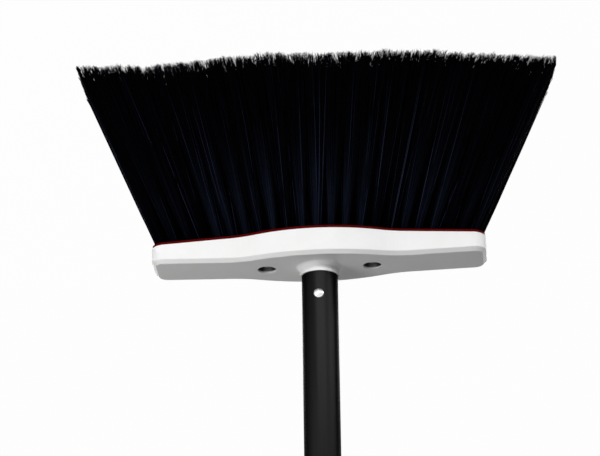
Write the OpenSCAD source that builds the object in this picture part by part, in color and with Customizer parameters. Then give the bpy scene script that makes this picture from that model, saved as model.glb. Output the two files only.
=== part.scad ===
// Lobby broom: a white moulded block with a bulged middle, black bristles that fan out of it,
// and a black tube handle that pushes onto a spigot and is held there by a sprung snap button.
// Millimetres. X runs along the block, the front is -Y, Z runs up the handle from the bristle tips.

/* [Block] */
// Length of the block, end to end
block_length = 220; // [200:1:250]
// Depth of the block at its ends, front to back
block_end_depth = 35; // [33:0.5:40]
// Depth of the block across the middle of its bulge
block_mid_depth = 55; // [49:0.5:60]
// Half of the length that the bulge takes up
bulge_half_length = 50; // [46:1:58]
// Radius that eases the bulge into the straight ends
bulge_ease_radius = 60; // [40:1:80]
// Radius of the block's corners in plan
block_corner_radius = 8; // [5:0.5:9]
// Height of the block at its middle, from the rim to the handle face
block_height = 17.7; // [16.5:0.1:22]
// How far the rim rises toward the handle at the ends of the block
rim_rise = 4; // [0:0.2:4.6]
// How far the handle face falls away toward the ends of the block
face_crown = 1.8; // [0:0.1:2.1]
// Bevel round the handle face
block_bevel = 2.6; // [1.6:0.1:3.6]
// Rounding of the bevel's two edges
edge_round = 1; // [0.4:0.1:1.6]
// Side wall of the block
block_wall = 2.8; // [2.2:0.1:3.4]
// Wall of the block where the tuft plate laps inside it
lap_wall = 1.4; // [1:0.1:1.8]
// Roof of the block, under the handle face
block_roof = 3; // [2.4:0.1:4]
// Thickness of a cross rib inside the block
rib_thickness = 2; // [1.5:0.1:3]

/* [Collar and spigot] */
// How far the collar stands out round the handle
collar_margin = 1; // [0.6:0.1:3]
// Height of the collar above the handle face
collar_height = 6.3; // [5:0.1:12]
// Fillet at the foot of the collar
collar_fillet = 3; // [1.5:0.1:4.5]
// Length of the spigot inside the handle
spigot_length = 45; // [38:1:70]
// Wall of the spigot
spigot_wall = 3; // [2:0.1:3.5]
// Lead-in bevel at the top of the spigot
spigot_lead = 1.5; // [0.5:0.1:1.8]

/* [Screws and wells] */
// Distance between the two screw wells
well_spacing = 69.5; // [62:0.5:90]
// Diameter of a screw well
well_diameter = 12.4; // [10:0.1:13]
// Depth of a well down to the screw's seat
well_depth = 5; // [4.5:0.1:5.8]
// Wall round a well
well_wall = 2.5; // [1.5:0.1:3]
// Floor of a well, under the screw head
well_floor = 2.2; // [1.8:0.1:2.8]
// Diameter of a screw's head
screw_head_diameter = 8.4; // [7:0.2:9.6]
// Height of a screw's domed head
screw_head_height = 2.8; // [2:0.1:3.4]
// Diameter of a screw's shank
screw_shank_diameter = 4; // [3:0.1:4.6]
// Length of one arm pair of the cross slot in a screw's head
screw_slot_length = 4.6; // [3.6:0.1:5.2]
// Width of the cross slot
screw_slot_width = 1.1; // [0.8:0.1:1.6]
// Depth of the cross slot
screw_slot_depth = 1.6; // [1:0.1:1.8]

/* [Tuft plate] */
// Edge of the plate that shows between block and bristles
flange_thickness = 1.8; // [1:0.1:3]
// How far the plate's edge lies inside the block's outline
flange_inset = 0.4; // [0:0.1:1]
// Height of the bosses that take the screws
boss_height = 1.2; // [0.8:0.1:1.8]
// Diameter of those bosses
boss_diameter = 10; // [8:0.5:14]
// Depth of the grooves that hold the tufts
groove_depth = 3.6; // [3:0.1:4.2]
// Plate left outside the outer grooves
groove_side_wall = 0.8; // [0.6:0.1:1.2]
// Material left between a screw's tip and the groove under it
pilot_floor = 1; // [0.6:0.1:1.6]

/* [Bristles] */
// Trimmed length of the bristles at the middle of the block
bristle_length = 125; // [80:1:150]
// Outward lean of the last tuft of a row
flare_angle = 23.4; // [10:0.2:27]
// Outward lean of the front and back rows
row_lean_angle = 5; // [2:0.2:8]
// Tufts in the rows that have one more
tufts_per_row = 23; // [21:2:25]
// From the block's end to the middle of a row's last tuft
row_end_margin = 7.3; // [7:0.1:9.5]
// Width of the strip that binds the tufts of a row
strip_width = 4.4; // [4:0.1:4.8]
// Spacing of the strands of a tuft at the plate
strand_root_spacing = 2; // [1.8:0.1:2.3]
// How deep a strand is rooted in its strip
strand_root_depth = 1; // [0.6:0.1:1.4]
// Radius of a strand at the plate
strand_root_radius = 0.7; // [0.5:0.05:0.8]
// Radius of a strand at its tip
strand_tip_radius = 1.9; // [1:0.1:2]

/* [Handle] */
// Outside diameter of the handle tube
handle_diameter = 24; // [22:0.5:28]
// Wall of the handle tube
handle_wall = 0.8; // [0.6:0.1:1.2]
// Length of the handle tube
handle_length = 762; // [600:1:1200]

/* [Snap button] */
// Height of the button above the lower end of the handle
button_height = 15.8; // [15:0.1:24]
// Diameter of the button
button_diameter = 6.4; // [5:0.1:7]
// How far the button stands out of the handle
button_reach = 2.4; // [1.6:0.1:3]
// Height of the button's domed end
button_dome = 1.5; // [0.8:0.1:1.6]
// Diameter of the rivet that joins the button to its spring
rivet_diameter = 2.6; // [2:0.1:3.2]
// Diameter of the rivet's head
rivet_head_diameter = 4.2; // [3.6:0.1:5]
// Thickness of the rivet's head
rivet_head_height = 0.8; // [0.5:0.1:1.2]
// Width of the spring clip
clip_width = 6; // [5:0.1:7]
// Thickness of the spring clip
clip_thickness = 0.6; // [0.4:0.1:0.8]
// From the clip's bend to the button
clip_leg = 12; // [9:0.5:14]
// How far the clip's legs run on past the button
clip_tail = 4; // [3:0.5:6]

/* [End cap] */
// Length of the plug inside the handle
plug_length = 24; // [15:1:40]
// Wall of the plug
plug_wall = 2.2; // [1.5:0.1:3]
// Height of the cap up to the middle of its hanging hole
cap_height = 19; // [18:0.5:26]
// Height of the cap's round shoulder, below the flats
cap_shoulder = 5; // [3:0.5:6]
// Thickness of the cap between its flats
cap_thickness = 10; // [8:0.5:14]
// Diameter of the hanging hole
hang_hole_diameter = 9; // [7:0.5:10]

/* [Hidden] */
$fn = 96;

// Clearances and the overrun that all cuts share
seat_clearance = 0.05;
plate_clearance = 0.2;
spigot_clearance = 0.1;
shank_clearance = 0.25;
button_clearance = 0.15;
button_hole_clearance = 0.25;
overrun = 1;
// How far the foot of the collar's fillet lies under the handle face
collar_sink = 0.1;
// How far a rib is rooted in the roof and the walls
rib_sink = 0.6;

// Steps along the curves of the block's outline, and along a row
corner_steps = 8;
ease_steps = 5;
bulge_steps = 16;
round_steps = 3;
row_steps = 24;
strand_sides = 3;

// Places along the block of the cross ribs, as shares of its half length
rib_shares = [-0.78, -0.56, 0.56, 0.78];
// Places of the rows between the front and the back, as shares of the outer rows' distance from the middle
row_shares = [-1, -0.5, 0, 0.5, 1];
// Width of a strip's very end, as a share of its width
strip_end_share = 0.7;
// Share of the room between two tufts that a tuft's strands are spread over at the tips
tip_spread_share = 0.5;
// Corners of a tuft, in shares of its strand spacing
tuft_corner_shares = [[-0.5, -0.5], [0.5, -0.5], [-0.5, 0.5], [0.5, 0.5]];

// Levels
face_z = bristle_length;
rim_z = face_z + flange_thickness;
top_z = rim_z + block_height;
seat_z = top_z - well_depth;
well_z = seat_z - well_floor;
plate_z = well_z - boss_height;
collar_z = top_z + collar_height;
button_z = collar_z + button_height;
bend_z = button_z - clip_leg;
cap_z = collar_z + handle_length;

// Outline of the block: a bulge arc, an easing arc and a straight end, with a round corner
half_length = block_length / 2;
end_half = block_end_depth / 2;
mid_half = block_mid_depth / 2;
bulge = mid_half - end_half;
bulge_radius = (pow(bulge_half_length, 2) + pow(bulge, 2)) / (2 * bulge);
bulge_drop = bulge_radius - mid_half;
ease_reach = bulge_radius + bulge_ease_radius;
ease_x = sqrt(pow(ease_reach, 2) - pow(bulge_drop + end_half + bulge_ease_radius, 2));
ease_angle = asin(ease_x / ease_reach);

// Radii of the round pieces
handle_radius = handle_diameter / 2;
handle_bore_radius = handle_radius - handle_wall;
spigot_radius = handle_bore_radius - spigot_clearance;
spigot_bore_radius = spigot_radius - spigot_wall;
collar_radius = handle_radius + collar_margin;
button_radius = button_diameter / 2;
clip_reach = sqrt(pow(spigot_bore_radius, 2) - pow(clip_width / 2, 2)) - seat_clearance;
bore_floor_z = bend_z - clip_reach - seat_clearance;
cap_scoop_radius = handle_radius - cap_thickness / 2;

// Rows of tufts
row_inset = lap_wall + plate_clearance + groove_side_wall + seat_clearance + strip_width / 2;
row_half_length = half_length - row_end_margin;
flare_ratio = (row_half_length + bristle_length * tan(flare_angle)) / row_half_length;
row_lean = bristle_length * tan(row_lean_angle);
tuft_pitch = 2 * row_half_length / (tufts_per_row - 1);

// Height at x of an arch that lies on the middle of the block and has this height at its ends
function arch(x, height) = height * pow(x / half_length, 2);

// How far the rim and the bristle face have risen toward the handle at x
function rise(x) = arch(x, rim_rise);

// Half of the block's depth at x, on the outline moved in by inset
function half_depth(x, inset) =
  let (
    radius = bulge_radius - inset,
    ease = bulge_ease_radius + inset,
    across = abs(x)
  )
  across <= radius * sin(ease_angle) ? sqrt(pow(radius, 2) - pow(x, 2)) - bulge_drop :
  across <= ease_x ? end_half + bulge_ease_radius - sqrt(pow(ease, 2) - pow(ease_x - across, 2)) :
  end_half - inset;

// Right-hand half of the outline's back edge, from the middle to the end, moved in by inset
function right_edge(inset) =
  let (
    radius = bulge_radius - inset,
    ease = bulge_ease_radius + inset,
    corner = block_corner_radius - inset
  )
  concat(
    [for (i = [1:bulge_steps]) let (angle = ease_angle * i / bulge_steps)
      [radius * sin(angle), radius * cos(angle) - bulge_drop]],
    [for (i = [1:ease_steps]) let (angle = ease_angle * (1 - i / ease_steps))
      [ease_x - ease * sin(angle), end_half + bulge_ease_radius - ease * cos(angle)]],
    [for (i = [0:corner_steps]) let (angle = 90 * i / corner_steps)
      [half_length - block_corner_radius + corner * sin(angle), end_half - block_corner_radius + corner * cos(angle)]]
  );

// The whole back edge, from the left end to the right end
function back_edge(inset) =
  let (right = right_edge(inset))
  concat(
    [for (i = [len(right) - 1:-1:0]) [-right[i].x, right[i].y]],
    [[0, mid_half - inset]],
    right
  );

// Ring of points: along the front from left to right, then along the back from right to left
function ring(front, back, level, height) = concat(
  [for (p = front) [p.x, p.y, level + arch(p.x, height)]],
  [for (i = [len(back) - 1:-1:0]) [back[i].x, back[i].y, level + arch(back[i].x, height)]]
);

// Ring on the block's outline, arched by a height
function block_ring(inset, level, height) =
  let (back = back_edge(inset))
  ring([for (p = back) [p.x, -p.y]], back, level, height);

// Middle line of a row at x, at its roots and at its tips
function row_y(share, x) = share * half_depth(x, row_inset);
function tip_y(share, x) = row_y(share, x) + share * row_lean;

// Ring round a row's strip or groove: full width from end tuft to end tuft, then tapered ends
function row_ring(share, spare, level) =
  let (
    end_x = row_half_length + strip_width / 2 + spare,
    half_width = strip_width / 2 + spare,
    inner = [for (i = [0:row_steps]) [row_half_length * (2 * i / row_steps - 1), half_width]],
    stations = concat([[-end_x, half_width * strip_end_share]], inner, [[end_x, half_width * strip_end_share]]),
    front = [for (s = stations) [s.x, row_y(share, s.x) - s.y]],
    back = [for (s = stations) [s.x, row_y(share, s.x) + s.y]]
  )
  ring(front, back, level, rim_rise);

// Rings up the outside of the block: wall, rounded edge, bevel, rounded edge, handle face
function shell_rings() =
  let (tangent = edge_round * tan(22.5))
  concat(
    [block_ring(0, rim_z, rim_rise)],
    [for (i = [0:round_steps]) let (angle = 45 * i / round_steps)
      block_ring(
        edge_round * (1 - cos(angle)),
        top_z - block_bevel - tangent + edge_round * sin(angle),
        -face_crown
      )],
    [for (i = [0:round_steps]) let (angle = 45 + 45 * i / round_steps)
      block_ring(
        block_bevel + tangent - edge_round * cos(angle),
        top_z - edge_round + edge_round * sin(angle),
        -face_crown
      )]
  );

// Closed solid through rings of equal count, from the lowest to the highest
module loft(rings) {
  count = len(rings[0]);
  last = len(rings) - 1;
  sides = [for (k = [0:last - 1]) for (i = [0:count - 1])
    let (a = k * count + i, b = k * count + (i + 1) % count)
    each [[a, a + count, b + count], [a, b + count, b]]];
  floor_faces = [for (i = [0:count / 2 - 2]) each
    [[i, i + 1, count - 2 - i], [i, count - 2 - i, count - 1 - i]]];
  roof_faces = [for (face = floor_faces) [for (i = [2:-1:0]) face[i] + last * count]];
  polyhedron(
    [for (points = rings) each points],
    concat(sides, floor_faces, roof_faces)
  );
}

// Turned cylinder that runs to the front from y
module to_front(from_y, to_y, level, radius) {
  translate([0, from_y, level]) rotate([90, 0, 0]) cylinder(r = radius, h = from_y - to_y);
}

// Places a copy at each screw
module at_screws() {
  for (side = [-1, 1]) translate([side * well_spacing / 2, 0, 0]) children();
}

// White moulded shell with its collar, spigot, screw wells and inner ribs
module block_housing() {
  color("white") difference() {
    union() {
      difference() {
        loft(shell_rings());
        loft([
          block_ring(lap_wall, rim_z - overrun, rim_rise),
          block_ring(lap_wall, plate_z + seat_clearance, 0)
        ]);
        loft([
          block_ring(block_wall, plate_z - overrun, 0),
          block_ring(block_wall, top_z - block_roof, -face_crown)
        ]);
      }
      cross_ribs();
      at_screws() translate([0, 0, well_z])
        cylinder(d = well_diameter + 2 * well_wall, h = well_depth + well_floor - block_roof / 2);
      translate([0, 0, plate_z + plate_clearance])
        cylinder(r = spigot_radius, h = top_z - block_roof / 2 - plate_z - plate_clearance);
      collar();
      spigot();
    }
    at_screws() translate([0, 0, seat_z]) cylinder(d = well_diameter, h = well_depth + overrun);
    at_screws() translate([0, 0, well_z - overrun])
      cylinder(d = screw_shank_diameter + 2 * shank_clearance, h = well_floor + 2 * overrun);
    translate([0, 0, bore_floor_z])
      cylinder(r = spigot_bore_radius, h = collar_z + spigot_length + overrun - bore_floor_z);
    to_front(0, -handle_radius, button_z, button_radius + button_clearance);
  }
}

// Ribs across the shell, from its roof down to the plate
module cross_ribs() {
  rib_depth = block_end_depth - 2 * (block_wall - rib_sink);
  rib_z = plate_z + plate_clearance;
  for (share = rib_shares) {
    x = share * half_length;
    rib_height = top_z - block_roof - arch(x, face_crown) + rib_sink - rib_z;
    translate([x - rib_thickness / 2, -rib_depth / 2, rib_z]) cube([rib_thickness, rib_depth, rib_height]);
  }
}

// Collar round the foot of the handle, with a hollow fillet where it grows out of the block
module collar() {
  full_height = collar_sink + collar_height;
  translate([0, 0, top_z - collar_sink]) rotate_extrude() difference() {
    translate([0, -block_roof / 2]) square([collar_radius + collar_fillet, full_height + block_roof / 2]);
    translate([collar_radius + collar_fillet, collar_fillet]) circle(r = collar_fillet);
    translate([collar_radius, collar_fillet]) square([collar_fillet + overrun, collar_height]);
  }
}

// Spigot that the handle slides over
module spigot() {
  translate([0, 0, collar_z - collar_height / 2]) rotate_extrude() polygon([
    [0, 0],
    [spigot_radius, 0],
    [spigot_radius, collar_height / 2 + spigot_length - spigot_lead],
    [spigot_radius - spigot_lead, collar_height / 2 + spigot_length],
    [0, collar_height / 2 + spigot_length]
  ]);
}

// Dark red plate that closes the shell and holds the rows of tufts in its grooves
module tuft_plate() {
  body_inset = lap_wall + plate_clearance;
  color([0.33, 0.02, 0.04]) difference() {
    union() {
      loft([
        block_ring(flange_inset, face_z, rim_rise),
        block_ring(flange_inset, rim_z - seat_clearance, rim_rise),
        block_ring(body_inset, rim_z - seat_clearance, rim_rise),
        block_ring(body_inset, plate_z, 0)
      ]);
      at_screws() translate([0, 0, plate_z - boss_height])
        cylinder(d = boss_diameter, h = 2 * boss_height - seat_clearance);
    }
    for (share = row_shares) loft([
      row_ring(share, seat_clearance, face_z - overrun),
      row_ring(share, seat_clearance, face_z + groove_depth)
    ]);
    at_screws() translate([0, 0, pilot_z()])
      cylinder(d = screw_shank_diameter + 2 * seat_clearance, h = well_z - pilot_z() + overrun);
  }
}

// Floor of the blind holes that the screws bite into
function pilot_z() = face_z + rise(well_spacing / 2) + groove_depth + pilot_floor;

// Two dome-headed screws that pull the plate up into the shell
module plate_screws() {
  shank_length = seat_z - pilot_z() - seat_clearance;
  dome_radius = (pow(screw_head_diameter / 2, 2) + pow(screw_head_height, 2)) / (2 * screw_head_height);
  color("silver") at_screws() translate([0, 0, seat_z]) difference() {
    rotate_extrude() {
      translate([0, -shank_length]) square([screw_shank_diameter / 2, shank_length + screw_head_height / 2]);
      intersection() {
        translate([0, screw_head_height - dome_radius]) circle(r = dome_radius);
        square([screw_head_diameter / 2, screw_head_height]);
      }
    }
    for (turn = [0, 90]) rotate([0, 0, turn])
      translate([-screw_slot_length / 2, -screw_slot_width / 2, screw_head_height - screw_slot_depth])
        cube([screw_slot_length, screw_slot_width, screw_slot_depth + overrun]);
  }
}

// Straight strand from its root point to its tip point, cut level at both ends
module strand(root, tip, turn) {
  corners = [for (i = [0:strand_sides - 1]) turn + 360 * i / strand_sides];
  low = [for (angle = corners) tip + strand_tip_radius * [cos(angle), sin(angle), 0]];
  high = [for (angle = corners) root + strand_root_radius * [cos(angle), sin(angle), 0]];
  sides = [for (i = [0:strand_sides - 1])
    let (next = (i + 1) % strand_sides)
    each [[i, i + strand_sides, next + strand_sides], [i, next + strand_sides, next]]];
  ends = [for (i = [1:strand_sides - 2]) each
    [[0, i, i + 1], [strand_sides, strand_sides + i + 1, strand_sides + i]]];
  polyhedron(concat(low, high), concat(sides, ends));
}

// One row: a strip that lies in its groove, and tufts of strands that fan out of it down to the floor
module bristle_row(number) {
  share = row_shares[number];
  tufts = tufts_per_row - number % 2;
  first_x = -tuft_pitch * (tufts - 1) / 2;
  color([0.08, 0.08, 0.09]) union() {
    loft([
      row_ring(share, 0, face_z),
      row_ring(share, 0, face_z + groove_depth - seat_clearance)
    ]);
    for (i = [0:tufts - 1]) for (corner = tuft_corner_shares) {
      x = first_x + i * tuft_pitch;
      y = row_y(share, x);
      tip_gap = tip_y(row_shares[4], x) - tip_y(row_shares[3], x);
      tip_spread = tip_spread_share * [tuft_pitch * flare_ratio, tip_gap];
      root = [
        x + corner.x * strand_root_spacing,
        y + corner.y * strand_root_spacing,
        face_z + rise(x) + strand_root_depth
      ];
      tip = [x * flare_ratio + corner.x * tip_spread.x, tip_y(share, x) + corner.y * tip_spread.y, 0];
      strand(root, tip, 90 * sign(corner.y));
    }
  }
}

module bristle_row_1() { bristle_row(0); }
module bristle_row_2() { bristle_row(1); }
module bristle_row_3() { bristle_row(2); }
module bristle_row_4() { bristle_row(3); }
module bristle_row_5() { bristle_row(4); }

// Black tube with a hole for the snap button
module handle_tube() {
  color([0.1, 0.1, 0.11]) difference() {
    translate([0, 0, collar_z]) cylinder(r = handle_radius, h = handle_length);
    translate([0, 0, collar_z - overrun]) cylinder(r = handle_bore_radius, h = handle_length + 2 * overrun);
    to_front(0, -handle_radius - overrun, button_z, button_radius + button_hole_clearance);
  }
}

// Bent leaf spring inside the spigot: one leg bears on the back, the other carries the button
module spring_clip() {
  inner_reach = clip_reach - clip_thickness;
  leg_length = clip_leg + clip_tail;
  color("lightsteelblue") difference() {
    translate([-clip_width / 2, 0, bend_z]) rotate([90, 0, 90]) linear_extrude(clip_width) {
      difference() {
        circle(r = clip_reach);
        circle(r = inner_reach);
        translate([-clip_reach - overrun, 0]) square([2 * (clip_reach + overrun), clip_reach + overrun]);
      }
      translate([-clip_reach, 0]) square([clip_thickness, leg_length]);
      translate([inner_reach, 0]) square([clip_thickness, leg_length]);
    }
    to_front(0, -clip_reach - overrun, button_z, rivet_diameter / 2 + seat_clearance);
  }
}

// Domed button with the rivet that holds it to the clip
module snap_button() {
  length = handle_radius + button_reach - clip_reach - seat_clearance;
  straight = length - button_dome;
  rivet_length = clip_thickness + 2 * seat_clearance + rivet_head_height;
  dome_radius = (pow(button_radius, 2) + pow(button_dome, 2)) / (2 * button_dome);
  color("gainsboro") translate([0, -clip_reach - seat_clearance, button_z]) rotate([90, 0, 0]) rotate_extrude() {
    square([button_radius, straight]);
    intersection() {
      translate([0, length - dome_radius]) circle(r = dome_radius);
      translate([0, straight / 2]) square([button_radius, length - straight / 2]);
    }
    translate([0, -rivet_length]) square([rivet_diameter / 2, rivet_length + straight / 2]);
    translate([0, -rivet_length]) square([rivet_head_diameter / 2, rivet_head_height]);
  }
}

// Cap that plugs the top of the handle, with flats and a hanging hole
module end_cap() {
  plug_radius = handle_bore_radius - seat_clearance;
  color([0.1, 0.1, 0.11]) translate([0, 0, cap_z]) difference() {
    union() {
      cylinder(r = handle_radius, h = cap_height);
      translate([0, 0, cap_height]) sphere(r = handle_radius);
      translate([0, 0, -plug_length]) cylinder(r = plug_radius, h = plug_length + cap_shoulder / 2);
    }
    translate([0, 0, -plug_length - overrun]) cylinder(r = plug_radius - plug_wall, h = plug_length + overrun);
    cap_flat();
    mirror([0, 1, 0]) cap_flat();
    translate([0, handle_radius, cap_height]) rotate([90, 0, 0])
      cylinder(d = hang_hole_diameter, h = 2 * handle_radius);
  }
}

// What is taken off the back of the cap: a flat that runs out in a scoop at the shoulder
module cap_flat() {
  flat_z = cap_shoulder + cap_scoop_radius;
  width = handle_diameter + 2 * overrun;
  translate([-width / 2, handle_radius, flat_z]) rotate([0, 90, 0])
    cylinder(r = cap_scoop_radius, h = width);
  translate([-width / 2, cap_thickness / 2, flat_z])
    cube([width, handle_radius, cap_height + handle_radius]);
}

block_housing();
tuft_plate();
plate_screws();
bristle_row_1();
bristle_row_2();
bristle_row_3();
bristle_row_4();
bristle_row_5();
handle_tube();
spring_clip();
snap_button();
end_cap();
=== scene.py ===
# %% [markdown]
# # A lobby broom
# The object is a small upright broom: a white moulded block, a fan of black bristles under it, a black tube
# handle and a little sprung button that keeps the two together. The hard pieces come ready made in the
# frame, at their real size. What is left to do here is the bristles, the finishes, the light and the camera.

# %% Load the frame
import math

import bmesh
import bpy
import numpy as np
from mathutils import Matrix, Vector


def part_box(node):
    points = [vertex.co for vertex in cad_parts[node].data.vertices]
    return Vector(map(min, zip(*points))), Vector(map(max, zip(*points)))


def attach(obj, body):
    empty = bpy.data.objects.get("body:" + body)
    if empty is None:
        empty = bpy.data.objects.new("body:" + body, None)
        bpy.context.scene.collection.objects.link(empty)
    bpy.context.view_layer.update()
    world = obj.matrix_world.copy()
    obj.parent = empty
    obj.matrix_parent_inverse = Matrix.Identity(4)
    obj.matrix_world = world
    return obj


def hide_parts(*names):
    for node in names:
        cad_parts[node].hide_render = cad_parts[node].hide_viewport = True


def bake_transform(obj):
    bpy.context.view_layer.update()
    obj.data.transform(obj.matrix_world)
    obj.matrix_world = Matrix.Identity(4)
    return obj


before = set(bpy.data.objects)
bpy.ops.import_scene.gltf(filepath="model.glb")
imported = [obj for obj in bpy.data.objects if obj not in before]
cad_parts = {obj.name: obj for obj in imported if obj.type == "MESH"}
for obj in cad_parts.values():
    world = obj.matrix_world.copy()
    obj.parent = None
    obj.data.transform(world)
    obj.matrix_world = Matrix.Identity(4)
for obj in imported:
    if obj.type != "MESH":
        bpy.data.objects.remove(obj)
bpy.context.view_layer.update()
MM = 0.001
print("nodes:", sorted(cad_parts))

# %% [markdown]
# ## The camera
# The photograph was taken with the broom turned upside down. The model stands upright, so the camera looks at
# it from the front and a little above, and is rolled by half a turn. A long lens far away gives the almost
# parallel edges of the handle. The matrix of a camera has its own right, up and back directions as columns,
# so it can be written down directly from two angles and a roll.

# %% Camera
IMAGE_WIDTH = 600
SENSOR_WIDTH = 36.0
view_azimuth = math.radians(-4.44)
view_elevation = math.radians(21.9)
view_roll = math.radians(179.216)
view_distance = 2.0214
far_clip = 50.0
focal_pixels = 3050
aim = Vector((0.01264, 0.0, 0.11551))


def camera_axes(azimuth, elevation, roll):
    """Right, up and back of a camera, each of length 1.

    Back points from the aim to the camera, right lies level before the roll, and up is square to both.
    """
    back = Vector((
        math.sin(azimuth) * math.cos(elevation),
        -math.cos(azimuth) * math.cos(elevation),
        math.sin(elevation),
    ))
    level = Vector((0.0, 0.0, 1.0)).cross(back).normalized()
    upright = back.cross(level)
    right = math.cos(roll) * level + math.sin(roll) * upright
    up = math.cos(roll) * upright - math.sin(roll) * level
    return right, up, back


right, up, back = camera_axes(view_azimuth, view_elevation, view_roll)
lens = bpy.data.cameras.new("photo_view")
lens.sensor_width = SENSOR_WIDTH
lens.lens = focal_pixels * SENSOR_WIDTH / IMAGE_WIDTH
lens.clip_end = far_clip
camera = bpy.data.objects.new("photo_view", lens)
camera_turn = Matrix((right, up, back)).transposed().to_4x4()
camera.matrix_world = Matrix.Translation(aim + view_distance * back) @ camera_turn
bpy.context.scene.collection.objects.link(camera)
bpy.context.scene.camera = camera
camera_place = [round(v, 3) for v in camera.matrix_world.translation]
print("camera at", camera_place, "with a lens of", round(lens.lens, 1), "mm")

# %% [markdown]
# ## Floor, world and light
# The photograph has a pure white ground. A floor that gives back a strength of 1 to camera rays is white
# without adding any light to the object, and a small diffuse share keeps a trace of the broom's shadow.
# Glossy and transmission rays see the same white, so plated metal shows it too.

# %% White ground
FLOOR_SIZE = 12.0
SHADOW_SHARE = 0.02
FLOOR_GREY = 0.82


def seen_directly(nodes, links):
    """Socket that is 1 for camera, glossy and transmission rays and 0 for all others."""
    path = nodes.new("ShaderNodeLightPath")
    either = nodes.new("ShaderNodeMath")
    either.operation = "MAXIMUM"
    links.new(path.outputs["Is Camera Ray"], either.inputs[0])
    links.new(path.outputs["Is Glossy Ray"], either.inputs[1])
    any_of = nodes.new("ShaderNodeMath")
    any_of.operation = "MAXIMUM"
    links.new(either.outputs[0], any_of.inputs[0])
    links.new(path.outputs["Is Transmission Ray"], any_of.inputs[1])
    return any_of.outputs[0]


def white_floor_material():
    """Diffuse pale grey for light that bounces, and nearly all plain white for what is looked at."""
    material = bpy.data.materials.new("white_floor")
    material.use_nodes = True
    nodes, links = material.node_tree.nodes, material.node_tree.links
    nodes.clear()
    diffuse = nodes.new("ShaderNodeBsdfDiffuse")
    diffuse.inputs["Color"].default_value = (FLOOR_GREY, FLOOR_GREY, FLOOR_GREY, 1)
    glow = nodes.new("ShaderNodeEmission")
    glow.inputs["Color"].default_value = (1, 1, 1, 1)
    glow.inputs["Strength"].default_value = 1.0
    share = nodes.new("ShaderNodeMath")
    share.operation = "MULTIPLY"
    links.new(seen_directly(nodes, links), share.inputs[0])
    share.inputs[1].default_value = 1.0 - SHADOW_SHARE
    mix = nodes.new("ShaderNodeMixShader")
    links.new(share.outputs[0], mix.inputs["Fac"])
    links.new(diffuse.outputs[0], mix.inputs[1])
    links.new(glow.outputs[0], mix.inputs[2])
    output = nodes.new("ShaderNodeOutputMaterial")
    links.new(mix.outputs[0], output.inputs["Surface"])
    return material


half = FLOOR_SIZE / 2
floor_mesh = bpy.data.meshes.new("floor")
floor_corners = [(-half, -half, 0), (half, -half, 0), (half, half, 0), (-half, half, 0)]
floor_mesh.from_pydata(floor_corners, [], [(0, 1, 2, 3)])
floor = bpy.data.objects.new("floor", floor_mesh)
floor_mesh.materials.append(white_floor_material())
bpy.context.scene.collection.objects.link(floor)
print("floor", FLOOR_SIZE, "m wide")

# %% World
WORLD_LIGHT = 0.12


def white_world():
    """Soft grey sky for the light, plain white for what is looked at."""
    world = bpy.data.worlds.new("soft_sky")
    world.use_nodes = True
    nodes, links = world.node_tree.nodes, world.node_tree.links
    nodes.clear()
    sky = nodes.new("ShaderNodeBackground")
    sky.inputs["Color"].default_value = (1, 1, 1, 1)
    strength = nodes.new("ShaderNodeMapRange")
    links.new(seen_directly(nodes, links), strength.inputs["Value"])
    strength.inputs["To Min"].default_value = WORLD_LIGHT
    strength.inputs["To Max"].default_value = 1.0
    links.new(strength.outputs["Result"], sky.inputs["Strength"])
    output = nodes.new("ShaderNodeOutputWorld")
    links.new(sky.outputs[0], output.inputs["Surface"])
    return world


bpy.context.scene.world = white_world()
bpy.context.scene.view_settings.view_transform = "Standard"
print("sky strength", WORLD_LIGHT)

# %% [markdown]
# The block's long side is bright, its bevel is a little darker and the face round the handle is a mid grey:
# the light in the photograph reaches the block from the bristle side. Here that is the floor's side, so a
# wide panel lies on the floor in front of the broom, with a shorter one round the corner from it. The tube
# mirrors the two as its soft streak, which ends sharply where the second one ends. A small panel near the
# other end and a weak one in front make that end of the block brighter, one high up lights the face round
# the handle, and one on the floor behind keeps the back from going dark. Small bare lamps would be simpler,
# but they give hard shadows and points of light on the tube.

# %% Lamps
def soft_panel(name, place, aim_at, size, watts):
    """Rectangular lamp at place that faces aim_at; size is its width and height in metres."""
    data = bpy.data.lights.new(name, "AREA")
    data.shape = "RECTANGLE"
    data.size, data.size_y = size
    data.energy = watts
    lamp = bpy.data.objects.new(name, data)
    direction = Vector(aim_at) - Vector(place)
    lamp.matrix_world = Matrix.Translation(place) @ direction.to_track_quat("-Z", "Y").to_matrix().to_4x4()
    lamp.visible_camera = False
    bpy.context.scene.collection.objects.link(lamp)
    return lamp


block_middle = (0.0, 0.0, 0.13)
# Name, place, what it faces, width and height, watts
panel_table = [
    ("floor_panel", (-0.09, -0.43, 0.012), (-0.09, -0.33, 0.5), (0.54, 0.16), 2.5),
    ("corner_panel", (-0.46, -0.14, 0.012), (-0.36, -0.11, 0.5), (0.4, 0.16), 1.6),
    ("side_panel", (0.38, -0.36, 0.3), block_middle, (0.24, 0.24), 1.2),
    ("front_panel", (0.25, -0.6, 0.2), block_middle, (0.4, 0.3), 0.3),
    ("top_panel", (0.5, -0.2, 1.9), block_middle, (1.2, 1.2), 0.9),
    ("back_panel", (0.0, 0.45, 0.012), (0.0, 0.35, 0.5), (0.8, 0.16), 3.6),
]
panels = [soft_panel(*row) for row in panel_table]
print("lamps:", [(lamp.name, lamp.data.energy) for lamp in panels])

# %% [markdown]
# ## Where the tufts are
# The block's outline is a bulge arc, an easing arc and a straight end. The rows of tufts follow that outline
# moved inwards, and each row is a share of the outer one. The same few sizes that shaped the hard pieces give
# the roots here, so every tuft grows out of its own groove.

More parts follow.
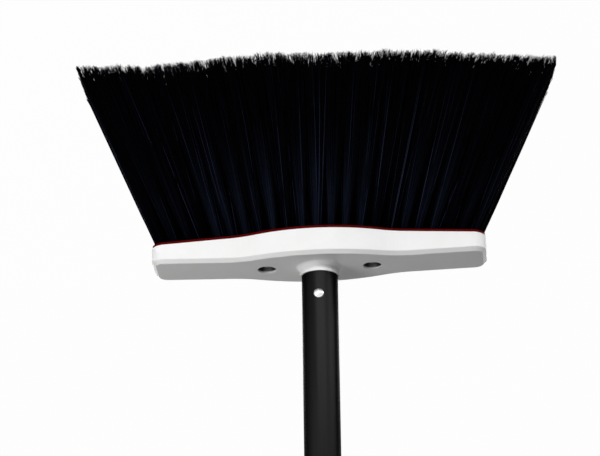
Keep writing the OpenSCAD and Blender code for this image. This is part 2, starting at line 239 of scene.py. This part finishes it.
# %% Outline of the block and rows
block_half_length = 110.0 * MM
end_half_depth = 17.5 * MM
mid_half_depth = 27.5 * MM
bulge_half_length = 50.0 * MM
ease_radius = 60.0 * MM
rim_rise = 4.0 * MM
row_inset = 4.65 * MM
row_half_length = 102.7 * MM
bristle_length = 125.0 * MM
flare_angle = math.radians(23.4)
lean_angle = math.radians(5.0)
strip_width = 4.4 * MM
strip_height = 3.55 * MM
strip_end_share = 0.7
row_shares = (-1.0, -0.5, 0.0, 0.5, 1.0)
tuft_counts = (23, 22, 23, 22, 23)
tuft_pitch = 2 * row_half_length / (tuft_counts[0] - 1)

bulge = mid_half_depth - end_half_depth
bulge_radius = (bulge_half_length ** 2 + bulge ** 2) / (2 * bulge)
bulge_drop = bulge_radius - mid_half_depth
ease_reach = bulge_radius + ease_radius
ease_x = math.sqrt(ease_reach ** 2 - (bulge_drop + end_half_depth + ease_radius) ** 2)


def half_depth(x, inset):
    """Half of the block's depth at x: bulge arc, then easing arc, then straight, each moved in by inset."""
    across = np.abs(x)
    radius = bulge_radius - inset
    ease = ease_radius + inset
    arc = np.sqrt(np.maximum(radius ** 2 - across ** 2, 0)) - bulge_drop
    eased = end_half_depth + ease_radius - np.sqrt(np.maximum(ease ** 2 - (ease_x - across) ** 2, 0))
    return np.where(across <= radius * ease_x / ease_reach, arc,
                    np.where(across <= ease_x, eased, end_half_depth - inset))


def face_level(x):
    """Height of the plate's bristle face at x, which rises to both ends as a parabola."""
    return bristle_length + rim_rise * (x / block_half_length) ** 2


flare_ratio = 1 + bristle_length * math.tan(flare_angle) / row_half_length
row_lean = bristle_length * math.tan(lean_angle)
print("tufts:", sum(tuft_counts), "flare", round(flare_ratio, 3), "outer rows lean", round(row_lean, 4))

# %% [markdown]
# ## Bristles
# Each tuft is a bundle of plastic filaments about half a millimetre thick. They could be a particle system,
# but a mesh goes into any other program as it is. A filament is a three-sided tube along a slightly bowed
# line, and just above the floor it is flagged: split into three thin ends. Filaments of a tuft cling
# together in small clumps, and the clumps are what gives the trimmed edge its jagged, brushy look. All the
# filaments of a row are worked out together, as arrays with one axis for tufts, one for clumps and one for
# the filaments of a clump.

# %% Tubes from lines
SIDES = 3
LOW_CAP, HIGH_CAP = np.array([0, 2, 1]), np.array([0, 1, 2])
side_angles = 2 * np.pi * np.arange(SIDES) / SIDES
sample_stations = 4


def tubes(lines, radii, turn):
    """Closed three-sided tubes: lines is (tubes, stations, 3), radii (tubes, stations), turn (tubes,).

    A corner lies at the line's point plus radius times (cos, sin, 0) of its side's angle, so every ring is
    level.
    """
    angles = side_angles + turn[:, None, None]
    ring = np.stack([np.cos(angles), np.sin(angles), np.zeros_like(angles)], -1)
    corners = lines[:, :, None, :] + radii[:, :, None, None] * ring
    count, stations = lines.shape[:2]
    base = (np.arange(count) * stations * SIDES)[:, None, None]
    low = base + (np.arange(stations - 1) * SIDES)[:, None] + np.arange(SIDES)
    low_next = base + (np.arange(stations - 1) * SIDES)[:, None] + (np.arange(SIDES) + 1) % SIDES
    walls = np.stack([
        np.stack([low, low_next, low_next + SIDES], -1),
        np.stack([low, low_next + SIDES, low + SIDES], -1),
    ], -2).reshape(-1, 3)
    first = base[:, 0] + LOW_CAP
    last = base[:, 0] + (stations - 1) * SIDES + HIGH_CAP
    return corners.reshape(-1, 3), np.concatenate([walls, first, last])


sample_triangles = 2 * SIDES * (sample_stations - 1) + 2
print("a tube of", sample_stations, "stations has", sample_triangles, "triangles")

# %% Where the filaments are cut
trim_places = MM * np.array([
    -162.0, -150.0, -133.0, -115.0, -97.0, -83.0, -60.0, -35.0, -10.0,
    15.0, 35.0, 60.0, 92.0, 105.0, 116.0, 127.0, 148.0, 163.0,
])
trim_heights = MM * np.array([
    9.2, 8.1, 6.0, 4.7, 2.2, 0.3, 0.8, 2.0, 3.0,
    1.4, 0.4, 0.1, 0.1, 1.6, 2.4, 0.3, 0.2, 0.5,
])


def trim_line(x):
    """Height of the worn cut over the floor at x, straight between a few places read along the fringe."""
    return np.interp(x, trim_places, trim_heights)


print("cut from", trim_heights.min(), "to", trim_heights.max(), "over the floor")

# %% Lines of the filaments
CLUMPS = 10
STRANDS = 11
FLAGS = 3
GOLDEN_ANGLE = math.pi * (3 - math.sqrt(5))
SAMPLE_SEED = 1
root_radius = 1.95 * MM
root_reach = 4.2 * MM
root_sink = 1.5 * MM
filament_radius = 0.27 * MM
flag_radius = 0.17 * MM
point_radius = 0.09 * MM
bow = 0.9 * MM
tip_scatter = 0.5 * MM
flag_scatter = 1.2 * MM
clump_lift = 1.6 * MM
strand_lift = 1.5 * MM
point_lift = 1.7 * MM
tuft_lift = 0.8 * MM
clump_share = 0.4
gather_share = 0.62
spread_share = 0.74
# Painted highlight: width of the painted sheen across a tuft, and its loss towards the ends of the row.
painted_sheen_width = 0.6
painted_sheen_loss = 0.6


def disc_points(distance, angle):
    """Points of the unit disc from their distance and angle."""
    return np.stack([distance * np.cos(angle), distance * np.sin(angle)], -1)


def row_lines(number, rng):
    """Root, tip, tuft place and sheen of each filament of a row.

    Clumps lie on a sunflower spiral over the tuft, filaments round each clump. The root is that point of a
    flat oval in the groove. The tip is moved out by the flare and the lean, with the filaments of a clump
    gathered, and cut at the trim line plus a lift of its tuft, one of its clump and one of its own. A clump
    comes to a point, so its outer filaments end higher, by the square of their distance from its middle. The
    sheen is a painted highlight: strongest along the middle of a tuft, different from tuft to tuft and weaker
    towards the ends of the row.
    """
    tufts = tuft_counts[number]
    share = row_shares[number]
    shape = (tufts, CLUMPS, STRANDS)
    x = ((np.arange(tufts) - (tufts - 1) / 2) * tuft_pitch)[:, None, None] * np.ones(shape)
    depth = half_depth(x, row_inset)
    order = np.arange(CLUMPS)[None, :, None]
    spin = 2 * np.pi * rng.random((tufts, 1, 1))
    clump = disc_points(np.sqrt((order + 0.5) / CLUMPS), spin + GOLDEN_ANGLE * order)
    grain_distance = np.sqrt(rng.random(shape))
    grain = disc_points(clump_share * grain_distance, 2 * np.pi * rng.random(shape))
    place = (clump + grain) / (1 + clump_share)
    ends = clump + gather_share * grain
    root = np.stack([
        x + root_reach * place[..., 0],
        share * depth + root_radius * place[..., 1],
        face_level(x) + root_sink,
    ], -1)
    tip_x = x * flare_ratio + spread_share * tuft_pitch * flare_ratio * ends[..., 0]
    tip_y = share * (depth + row_lean) + spread_share * (depth + row_lean) / 2 * ends[..., 1]
    lift = tuft_lift * rng.random((tufts, 1, 1)) + clump_lift * rng.random((tufts, CLUMPS, 1))
    lift = lift + point_lift * grain_distance ** 2 + strand_lift * rng.random(shape) ** 2
    tip = np.stack([
        tip_x + tip_scatter * rng.normal(size=shape),
        tip_y + tip_scatter * rng.normal(size=shape),
        trim_line(tip_x) + lift,
    ], -1)
    # Painted highlight along the middle of each tuft, weaker towards the ends of the row.
    painted_sheen = rng.random((tufts, 1, 1)) * np.maximum(1 - (place[..., 0] / painted_sheen_width) ** 2, 0)
    painted_sheen = painted_sheen * (1 - painted_sheen_loss * (x / row_half_length) ** 2)
    return root.reshape(-1, 3), tip.reshape(-1, 3), x.ravel(), painted_sheen.ravel()


def along_line(root, tip, side, share):
    """Points at the shares of a bowed line: straight from root to tip, plus side times sin(pi share)."""
    share = share[..., None]
    return root[:, None] + (tip - root)[:, None] * share + side[:, None] * np.sin(np.pi * share)


sample_root, sample_tip, *_ = row_lines(0, np.random.default_rng(SAMPLE_SEED))
sample_length = np.linalg.norm(sample_tip - sample_root, axis=1).mean()
print("front row filaments:", len(sample_root), "mean length", round(float(sample_length), 4))

# %% Sides of the fan
root_edges = (-103.6 * MM, 105.8 * MM)
tip_edges = (-159.3 * MM, 160.2 * MM)
end_turns = (4.0 * MM, 0.0)
widest = 161.6 * MM
edge_inset = 1.2 * MM
front_spare = 3.0 * MM
outer_tip = end_half_depth - row_inset + row_lean


def inside_fan(points, share, x, inset):
    """Points held inside the fan, whose two ends run straight from a root edge to a tip edge by share.

    A line from the groove to the outer tips limits y in the same way. One end is turned a little, so that its
    back tips stop short of its front ones. inset is each filament's own part of the edge's depth, so that the
    held ones don't all lie in one sheet.
    """
    depth = half_depth(x, row_inset)[:, None]
    own_inset = edge_inset * inset[:, None] * share
    reach = depth + root_radius + (row_lean + front_spare - root_radius) * share - own_inset
    held = points.copy()
    held[..., 1] = np.clip(points[..., 1], -reach, reach)
    low, high = (
        root + (tip - root + turn * held[..., 1] / outer_tip) * share
        for root, tip, turn in zip(root_edges, tip_edges, end_turns)
    )
    low, high = np.maximum(low, -widest), np.minimum(high, widest)
    held[..., 0] = np.clip(points[..., 0], low + own_inset, high - own_inset)
    return held


print("fan from", tip_edges[0], "to", tip_edges[1])

# %% Strip that binds a row
STRIP_STATIONS = 26
CORNERS = 4


def strip_surface(number):
    """Closed band in the row's groove: a rectangle carried along the row's line, narrowed at both ends."""
    ends = row_half_length + strip_width / 2
    x = np.concatenate([[-ends], np.linspace(-row_half_length, row_half_length, STRIP_STATIONS), [ends]])
    half_width = np.full(len(x), strip_width / 2)
    half_width[[0, -1]] *= strip_end_share
    y = row_shares[number] * half_depth(x, row_inset)
    low = face_level(x)
    corner_y = np.stack([y - half_width, y + half_width, y + half_width, y - half_width], 1)
    corner_z = np.stack([low, low, low + strip_height, low + strip_height], 1)
    points = np.stack([np.repeat(x[:, None], CORNERS, 1), corner_y, corner_z], -1).reshape(-1, 3)
    start = np.arange(len(x) - 1)[:, None] * CORNERS
    side = np.arange(CORNERS)
    a, b = start + side, start + (side + 1) % CORNERS
    walls = np.stack([
        np.stack([a, a + CORNERS, b + CORNERS], -1),
        np.stack([a, b + CORNERS, b], -1),
    ], -2).reshape(-1, 3)
    last = (len(x) - 1) * CORNERS
    caps = np.array([[0, 1, 2], [0, 2, 3], [last, last + 2, last + 1], [last, last + 3, last + 2]])
    return points, np.concatenate([walls, caps])


print("strip triangles:", len(strip_surface(0)[1]))

# %% Mesh from arrays
def mesh_piece(name, points, triangles, attributes):
    """Object at the origin whose mesh is filled from whole arrays; attributes are one number a point."""
    mesh = bpy.data.meshes.new(name)
    mesh.vertices.add(len(points))
    mesh.vertices.foreach_set("co", points.astype(np.float32).ravel())
    mesh.loops.add(triangles.size)
    mesh.loops.foreach_set("vertex_index", triangles.astype(np.int32).ravel())
    mesh.polygons.add(len(triangles))
    mesh.polygons.foreach_set("loop_start", np.arange(0, triangles.size, 3, dtype=np.int32))
    for label, values in attributes.items():
        layer = mesh.attributes.new(label, "FLOAT", "POINT")
        layer.data.foreach_set("value", values.astype(np.float32))
    mesh.update(calc_edges=True)
    mesh.validate()
    piece = bpy.data.objects.new(name, mesh)
    bpy.context.scene.collection.objects.link(piece)
    return piece


print("mesh helper ready")

# %% One row of bristles
STEM_SHARES = np.array([0.0, 0.3, 0.65, 1.0])
SPLIT_FROM, SPLIT_TO = 0.93, 0.97
# Share of the way at which the painted sheen near the block has faded out.
PAINTED_SHEEN_REACH = 0.5
ROW_SEED = 40
LEVEL = np.array([1.0, 1.0, 0.0])


def bristle_row(number):
    """Strip, stems and flagged ends of one row as one mesh.

    Each point also gets its share of the way from root to tip, its filament's random value for the painted
    glints and the roughness, and its painted sheen, a painted highlight which falls straight from the root to
    nothing at the reach set above.
    """
    rng = np.random.default_rng(ROW_SEED + number)
    root, tip, x, painted_sheen = row_lines(number, rng)
    count = len(root)
    turn = 2 * np.pi * rng.random(count)
    side = bow * rng.normal(size=(count, 3)) * LEVEL
    inset = rng.random(count)
    split = rng.uniform(SPLIT_FROM, SPLIT_TO, count)
    stem_share = STEM_SHARES * split[:, None]
    stem_lines = inside_fan(along_line(root, tip, side, stem_share), stem_share, x, inset)
    stem_points, stem_faces = tubes(stem_lines, np.full(stem_share.shape, filament_radius), turn)

    many = np.repeat(np.arange(count), FLAGS)
    flag_share = np.stack([split[many], np.ones(len(many))], -1)
    flag_lines = along_line(root[many], tip[many], side[many], flag_share)
    fan_out = flag_scatter * rng.normal(size=(len(many), 3))
    fan_out[:, 2] = strand_lift * rng.random(len(many))
    flag_lines[:, 1] += fan_out
    flag_lines = inside_fan(flag_lines, flag_share, x[many], inset[many])
    flag_radii = np.tile([flag_radius, point_radius], (len(many), 1))
    flag_points, flag_faces = tubes(flag_lines, flag_radii, turn[many])

    strip_points, strip_faces = strip_surface(number)
    # Random value a filament: it sets the roughness, and its top tenth gets a painted glint, lighter and
    # bluer.
    glint_and_roughness = rng.random(count)
    points = np.concatenate([strip_points, stem_points, flag_points])
    points[:, 2] = np.maximum(points[:, 2], 0.0)
    faces = np.concatenate([
        strip_faces,
        stem_faces + len(strip_points),
        flag_faces + len(strip_points) + len(stem_points),
    ])
    way = np.concatenate([
        np.zeros(len(strip_points)),
        np.repeat(stem_share.ravel(), SIDES),
        np.repeat(flag_share.ravel(), SIDES),
    ])
    glint_and_roughness_values = np.concatenate([
        np.zeros(len(strip_points)),
        np.repeat(glint_and_roughness, stem_share.shape[1] * SIDES),
        np.repeat(glint_and_roughness[many], flag_share.shape[1] * SIDES),
    ])
    # Painted highlight near the block, fading out along the stems.
    painted_sheens = np.zeros(len(points))
    stem_painted_sheen = painted_sheen[:, None] * np.maximum(1 - stem_share / PAINTED_SHEEN_REACH, 0)
    painted_sheens[len(strip_points):len(strip_points) + len(stem_points)] = np.repeat(stem_painted_sheen.ravel(), SIDES)
    attributes = {"way": way, "glint_and_roughness": glint_and_roughness_values, "painted_sheen": painted_sheens}
    return mesh_piece(f"filaments_row_{number + 1}", points, faces, attributes)


rows = [bristle_row(number) for number in range(len(row_shares))]
for number, piece in enumerate(rows):
    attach(piece, "broom")
    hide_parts(f"bristle_row_{number + 1}")
print("bristle triangles:", [len(piece.data.polygons) for piece in rows])

# %% [markdown]
# ## Spring behind the button
# A bent leaf spring sits in the bore behind the button. Its back leg bears on the wall and its front leg
# carries the button, so when the button is pressed, the front leg goes with it and the bend gives way. A
# rigid piece would be cut by the button. A copy of its mesh, joined into one closed surface, takes its
# place, and the places of its back and front legs are worked out from its box; the copy itself does not
# bend here.

# %% Leaf spring
JOIN_DISTANCE = 0.001 * MM
leaf_thickness = 0.6 * MM


def joined_copy(node, name):
    """Copy of a hard piece whose loose triangles are joined at their corners into one closed surface."""
    shell = bmesh.new()
    shell.from_mesh(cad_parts[node].data)
    bmesh.ops.remove_doubles(shell, verts=shell.verts, dist=JOIN_DISTANCE)
    mesh = bpy.data.meshes.new(name)
    shell.to_mesh(mesh)
    shell.free()
    piece = bpy.data.objects.new(name, mesh)
    bpy.context.scene.collection.objects.link(piece)
    return piece


spring_low, spring_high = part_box("spring_clip")
back_leg = (0.0, spring_high.y - leaf_thickness, spring_high.z)
front_leg = (0.0, spring_low.y + leaf_thickness, spring_high.z)
spring = joined_copy("spring_clip", "leaf_spring")
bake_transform(spring)
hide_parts("spring_clip")
spring_span = [round(front_leg[1], 4), round(back_leg[1], 4)]
print("spring:", len(spring.data.vertices), "points, bending between y", spring_span)

# %% [markdown]
# ## Finishes
# Every finish is a small node tree on one Principled shader. A picture could carry the same marks, but nodes
# that read Object coordinates need no unwrapping and stay sharp from close by. A helper starts the tree and
# hands back the shader with its links, so that each finish only says what is special about it.

# %% A finish to start from
def new_finish(name, colour, roughness, specular=0.5, metallic=0.0):
    """Material with one Principled shader set to plain values, returned with its nodes, links and shader."""
    material = bpy.data.materials.new(name)
    material.use_nodes = True
    nodes, links = material.node_tree.nodes, material.node_tree.links
    shader = nodes["Principled BSDF"]
    shader.inputs["Base Color"].default_value = (*colour, 1)
    shader.inputs["Roughness"].default_value = roughness
    shader.inputs["Specular IOR Level"].default_value = specular
    shader.inputs["Metallic"].default_value = metallic
    return material, nodes, links, shader


def object_noise(nodes, links, scale, detail=3.0, stretch=(1, 1, 1)):
    """Noise on Object coordinates, scale in grains a metre, stretched by a Mapping node."""
    place = nodes.new("ShaderNodeTexCoord")
    mapping = nodes.new("ShaderNodeMapping")
    mapping.inputs["Scale"].default_value = stretch
    noise = nodes.new("ShaderNodeTexNoise")
    noise.inputs["Scale"].default_value = scale
    noise.inputs["Detail"].default_value = detail
    links.new(place.outputs["Object"], mapping.inputs["Vector"])
    links.new(mapping.outputs["Vector"], noise.inputs["Vector"])
    return noise.outputs["Fac"]


def colour_ramp(nodes, links, value, stops):
    """Colour ramp over value; stops are (place, colour)."""
    ramp = nodes.new("ShaderNodeValToRGB")
    while len(ramp.color_ramp.elements) < len(stops):
        ramp.color_ramp.elements.new(0.5)
    for element, (place, colour) in zip(ramp.color_ramp.elements, stops):
        element.position = place
        element.color = (*colour, 1)
    links.new(value, ramp.inputs["Fac"])
    return ramp.outputs["Color"]


def colour_mix(nodes, links, factor, first, second):
    """First colour where factor is 0, second where it is 1; the second is a socket or a plain colour."""
    mix = nodes.new("ShaderNodeMix")
    mix.data_type = "RGBA"
    links.new(factor, mix.inputs["Factor"])
    links.new(first, mix.inputs["A"])
    if isinstance(second, tuple):
        mix.inputs["B"].default_value = (*second, 1)
    else:
        links.new(second, mix.inputs["B"])
    return mix.outputs["Result"]


def value_range(nodes, links, value, low, high, start=0.0, stop=1.0):
    """Low up to start, high from stop on, and straight between the two."""
    turned = nodes.new("ShaderNodeMapRange")
    turned.inputs["From Min"].default_value = start
    turned.inputs["From Max"].default_value = stop
    turned.inputs["To Min"].default_value = low
    turned.inputs["To Max"].default_value = high
    links.new(value, turned.inputs["Value"])
    return turned.outputs["Result"]


def bump(nodes, links, shader, height, strength, distance):
    """Bump on the shader's normal; distance is the height of the relief in metres."""
    relief = nodes.new("ShaderNodeBump")
    relief.inputs["Strength"].default_value = strength
    relief.inputs["Distance"].default_value = distance
    links.new(height, relief.inputs["Height"])
    links.new(relief.outputs["Normal"], shader.inputs["Normal"])


def dress(node, material):
    """Puts one material on a hard piece of the frame."""
    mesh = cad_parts[node].data
    mesh.materials.clear()
    mesh.materials.append(material)


print("finish helpers ready")

# %% [markdown]
# ### White moulded plastic
# The block is moulded in white plastic with a satin face. The mould leaves a fine grain that shows only as a
# soft highlight, and the colour clouds very slightly. Grain is bump at about a third of a millimetre, clouds
# are wide noise. Inside the two screw wells the colour is painted dark, as painted shade where little light
# gets in, and the middle of each well's back wall is painted lighter, as painted light where the front lamps
# reach it. That could be painted by hand, but a well is easily said in numbers: it is where the distance
# from its axis is small and the height is below the block's face.

# %% Painted shade in the two wells
well_x = 34.75 * MM
well_radius = 6.2 * MM
well_soft = 0.2 * MM
well_mouth = 143.6 * MM
well_mouth_soft = 0.8 * MM
# Painted light: the middle of each well's back wall is painted lighter between these shares of the radius.
lit_from_share, lit_to_share = 0.84, 0.97
# Painted shade: dark grey deep in a well, lighter on the lit middle of its back wall.
well_shade_stops = [(0.0, (0.02, 0.02, 0.02)), (1.0, (0.15, 0.15, 0.15))]


def maths(nodes, links, operation, first, second=None, number=None):
    """One Math node on sockets, or on a socket and a number."""
    node = nodes.new("ShaderNodeMath")
    node.operation = operation
    links.new(first, node.inputs[0])
    if second is not None:
        links.new(second, node.inputs[1])
    if number is not None:
        node.inputs[1].default_value = number
    return node.outputs[0]


def object_axes(nodes, links):
    """Sockets of the x, y and z of Object coordinates."""
    place = nodes.new("ShaderNodeTexCoord")
    axes = nodes.new("ShaderNodeSeparateXYZ")
    links.new(place.outputs["Object"], axes.inputs["Vector"])
    return axes.outputs


def well_shade_mask(nodes, links):
    """1 inside the wells: sqrt((|x| - well_x)^2 + y^2) below the radius, times z below the mouth."""
    x, y, z = object_axes(nodes, links)
    from_axis = maths(nodes, links, "SUBTRACT", maths(nodes, links, "ABSOLUTE", x), number=well_x)
    across = maths(nodes, links, "MULTIPLY", from_axis, from_axis)
    along = maths(nodes, links, "MULTIPLY", y, y)
    distance = maths(nodes, links, "SQRT", maths(nodes, links, "ADD", across, along))
    near = value_range(nodes, links, distance, 1.0, 0.0, well_radius, well_radius + well_soft)
    deep = value_range(nodes, links, z, 1.0, 0.0, well_mouth - well_mouth_soft, well_mouth)
    return maths(nodes, links, "MULTIPLY", near, deep)


def painted_well_shade(nodes, links):
    """Painted shade: dark grey, with a painted lighter patch on a well's back wall, where y comes near the
    radius and the front light falls.
    """
    _, y, _ = object_axes(nodes, links)
    lit_back_wall = value_range(
        nodes, links, y, 0.0, 1.0, lit_from_share * well_radius, lit_to_share * well_radius,
    )
    return colour_ramp(nodes, links, lit_back_wall, well_shade_stops)


print("wells at x", [-well_x, well_x], "with radius", well_radius)

# %% White plastic
white_colour = (0.86, 0.86, 0.855)
white_stops = [(0.3, (0.84, 0.84, 0.83)), (0.7, (0.88, 0.88, 0.88))]


def white_plastic():
    """Clouded white with a fine mould grain, and painted shade inside the wells."""
    material, nodes, links, shader = new_finish("white_plastic", white_colour, roughness=0.45, specular=0.35)
    clouds = object_noise(nodes, links, scale=45.0)
    tint = colour_ramp(nodes, links, clouds, white_stops)
    # Painted shade inside the wells, mixed over the clouded white.
    well_shaded = colour_mix(nodes, links, well_shade_mask(nodes, links), tint, painted_well_shade(nodes, links))
    links.new(well_shaded, shader.inputs["Base Color"])
    grain = object_noise(nodes, links, scale=2600.0, detail=2.0)
    links.new(value_range(nodes, links, grain, low=0.38, high=0.52), shader.inputs["Roughness"])
    bump(nodes, links, shader, grain, strength=0.25, distance=0.05 * MM)
    return material


dress("block_housing", white_plastic())
print("block dressed")

# %% [markdown]
# ### Dark red plate
# Only the edge of the plate shows, as a thin line between block and bristles. It is the same kind of plastic
# in a dark red. It has much less gloss than the block, so that the line stays dark beside the white.

# %% Red plastic
red_colour = (0.08, 0.0003, 0.0004)
red_stops = [(0.3, (0.07, 0.0002, 0.0003)), (0.7, (0.09, 0.0004, 0.0005))]


def red_plastic():
    """Clouded dark red with a fine mould grain and hardly any gloss."""
    material, nodes, links, shader = new_finish("red_plastic", red_colour, roughness=0.5, specular=0.02)
    clouds = object_noise(nodes, links, scale=60.0)
    links.new(colour_ramp(nodes, links, clouds, red_stops), shader.inputs["Base Color"])
    grain = object_noise(nodes, links, scale=2200.0, detail=2.0)
    bump(nodes, links, shader, grain, strength=0.2, distance=0.05 * MM)
    return material


dress("tuft_plate", red_plastic())
print("plate dressed")

# %% [markdown]
# ### Black coated tube
# The handle is a thin steel tube with a satin black coat. The coat has an orange-peel relief and faint
# drawing marks along the tube, so its noise is stretched along Z. A plain black plastic would turn pale
# towards its rims. A dark metal with a dark tint leaves only a thin light line there, and still shows the
# lamps as a streak.

# %% Satin black coat
coat_colour = (0.0085, 0.0085, 0.0085)
coat_rim_colour = (0.03, 0.03, 0.03)
coat_stops = [(0.35, (0.0085, 0.0085, 0.0087)), (0.7, (0.0105, 0.0105, 0.0107))]


def black_coat():
    """Very dark mirror with little gloss at its rims, drawn along the tube."""
    material, nodes, links, shader = new_finish(
        "black_coat", coat_colour, roughness=0.34, specular=0.08, metallic=0.85,
    )
    shader.inputs["Specular Tint"].default_value = (*coat_rim_colour, 1)
    peel = object_noise(nodes, links, scale=700.0, detail=2.0, stretch=(1, 1, 0.35))
    drawn = object_noise(nodes, links, scale=240.0, stretch=(1, 1, 0.03))
    links.new(value_range(nodes, links, drawn, low=0.28, high=0.42), shader.inputs["Roughness"])
    links.new(colour_ramp(nodes, links, drawn, coat_stops), shader.inputs["Base Color"])
    bump(nodes, links, shader, peel, strength=0.15, distance=0.08 * MM)
    return material


dress("handle_tube", black_coat())
print("handle dressed")

# %% [markdown]
# ### Black moulded plastic
# The cap on top of the handle is moulded in black. One grain is enough here: it varies the colour and the
# roughness and gives the relief, which is coarser than the block's.

# %% Black plastic
cap_colour = (0.011, 0.011, 0.012)
cap_stops = [(0.3, (0.009, 0.009, 0.01)), (0.7, (0.014, 0.014, 0.015))]


def black_plastic():
    """Black with one grain for colour, roughness and relief."""
    material, nodes, links, shader = new_finish("black_plastic", cap_colour, roughness=0.5, specular=0.4)
    grain = object_noise(nodes, links, scale=1800.0)
    links.new(value_range(nodes, links, grain, low=0.42, high=0.6), shader.inputs["Roughness"])
    links.new(colour_ramp(nodes, links, grain, cap_stops), shader.inputs["Base Color"])
    bump(nodes, links, shader, grain, strength=0.35, distance=0.06 * MM)
    return material


dress("end_cap", black_plastic())
print("end cap dressed")

# %% [markdown]
# ### Metal
# The button is bright plated steel, the screws are zinc plated and duller, the spring is plain blued strip.
# A metal shows what it mirrors, tinted by its own colour, so one function makes all three, and only the tint,
# the roughness and the grain differ.

# %% Metal pieces
button_colour = (0.86, 0.86, 0.85)
screw_colour = (0.5, 0.5, 0.49)
strip_colour = (0.42, 0.43, 0.46)
tarnish_share = 0.85


def plated(name, colour, rough_low, rough_high, grain_scale, stretch=(1, 1, 1)):
    """Metal whose grain runs from tarnish_share of its colour to all of it, from smooth to rough."""
    material, nodes, links, shader = new_finish(name, colour, rough_low, metallic=1.0)
    grain = object_noise(nodes, links, grain_scale, stretch=stretch)
    links.new(value_range(nodes, links, grain, rough_low, rough_high), shader.inputs["Roughness"])
    tarnished = tuple(tarnish_share * c for c in colour)
    tint = colour_ramp(nodes, links, grain, [(0.25, tarnished), (0.65, colour)])
    links.new(tint, shader.inputs["Base Color"])
    bump(nodes, links, shader, grain, strength=0.08, distance=0.03 * MM)
    return material


dress("snap_button", plated("bright_plating", button_colour, 0.12, 0.24, grain_scale=900.0))
dress("plate_screws", plated("zinc_plating", screw_colour, 0.3, 0.5, grain_scale=1500.0))
strip = plated("spring_strip", strip_colour, 0.25, 0.45, grain_scale=800.0, stretch=(1, 1, 0.1))
spring.data.materials.append(strip)
print("metal dressed")

# %% [markdown]
# ### Black filament
# The filaments are dyed through, nearly black with a cold tinge. A few are painted lighter and bluer by the
# random value written on each, as painted glints of single filaments. Near the block, where the tufts are
# still apart, the middle of a tuft gets a painted sheen. From three tenths of the way on, every filament runs
# into one near-black grey at its tip: the frayed split ends are a little greyer, and the painted glints and
# sheen fade out on the way. These numbers were written on the points of the mesh, because a noise in space
# would run across the filaments and not along them.

# %% Filament finish
filament_colour = (0.0006, 0.0006, 0.001)
# Body colours; the last stop paints a glint on the few filaments with the highest value.
body_and_glint_stops = [
    (0.0, (0.0003, 0.0003, 0.0006)),
    (0.9, (0.0008, 0.0008, 0.0016)),
    (1.0, (0.02, 0.026, 0.055)),
]
# Painted highlight: colour of the painted sheen near the block.
painted_sheen_colour = (0.0095, 0.013, 0.025)
# Near-black grey that every filament runs into towards its tip, so the painted glints and sheen fade out.
tip_fade_colour = (0.0013, 0.0014, 0.0024)
tip_fade_from = 0.3


def point_value(nodes, name):
    """Socket of the number of that name on each point of a mesh."""
    attribute = nodes.new("ShaderNodeAttribute")
    attribute.attribute_name = name
    return attribute.outputs["Fac"]


def black_filament():
    """Colour with painted glints by the random value, mixed with the painted sheen, then run into the tips'
    grey.
    """
    material, nodes, links, shader = new_finish(
        "black_filament", filament_colour, roughness=0.42, specular=0.005,
    )
    glint_and_roughness = point_value(nodes, "glint_and_roughness")
    body = colour_ramp(nodes, links, glint_and_roughness, body_and_glint_stops)
    near_block = colour_mix(nodes, links, point_value(nodes, "painted_sheen"), body, painted_sheen_colour)
    tip_fade = value_range(nodes, links, point_value(nodes, "way"), 0.0, 1.0, start=tip_fade_from)
    tint = colour_mix(nodes, links, tip_fade, near_block, tip_fade_colour)
    links.new(tint, shader.inputs["Base Color"])
    links.new(value_range(nodes, links, glint_and_roughness, low=0.36, high=0.5), shader.inputs["Roughness"])
    return material


filament = black_filament()
for piece in rows:
    piece.data.materials.append(filament)
print("filaments dressed")
